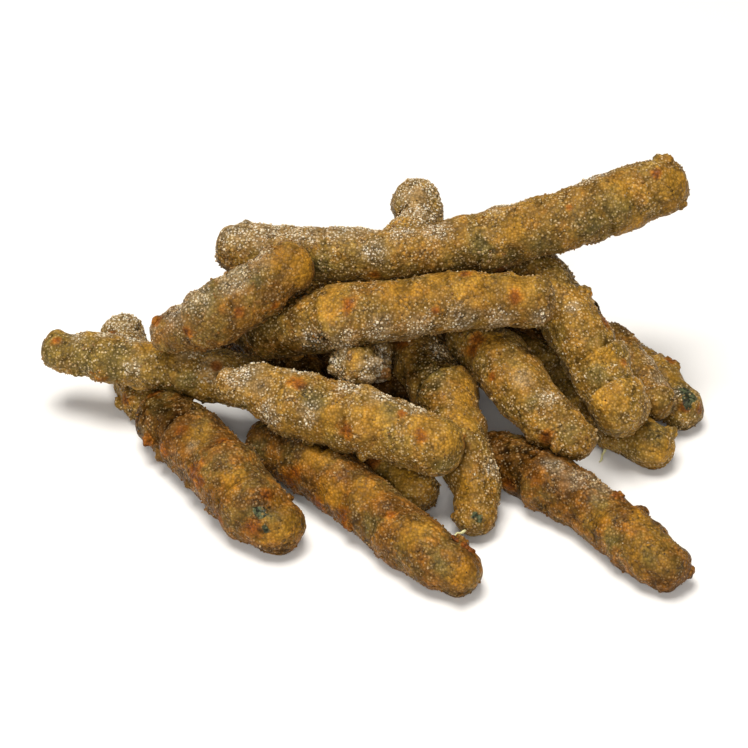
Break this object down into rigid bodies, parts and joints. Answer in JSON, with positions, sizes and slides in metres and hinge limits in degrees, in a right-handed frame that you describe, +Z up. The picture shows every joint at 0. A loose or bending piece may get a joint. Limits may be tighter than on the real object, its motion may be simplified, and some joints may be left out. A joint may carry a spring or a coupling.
{
  "type": "heap of battered green beans",
  "caption": "Loose heap of fried green beans in a rough, sandy golden crumb batter, lying crosswise on each other.",
  "frame": {"origin": "on the surface that the heap lies on, at the centre of the heap's box seen from above", "axes": "+X along the heap's longest side, to the right in the picture's view; +Y away from that view; +Z up"},
  "size_m": [0.1466, 0.1052, 0.0552],
  "materials": {
    "fried_batter": "rough sandy crumb batter, golden tan with olive, brown and green patches, matt with a faint oily sheen"
  },
  "bodies": {
    "root": {"bean_heap": "fried_batter"}
  },
  "joints": []
}
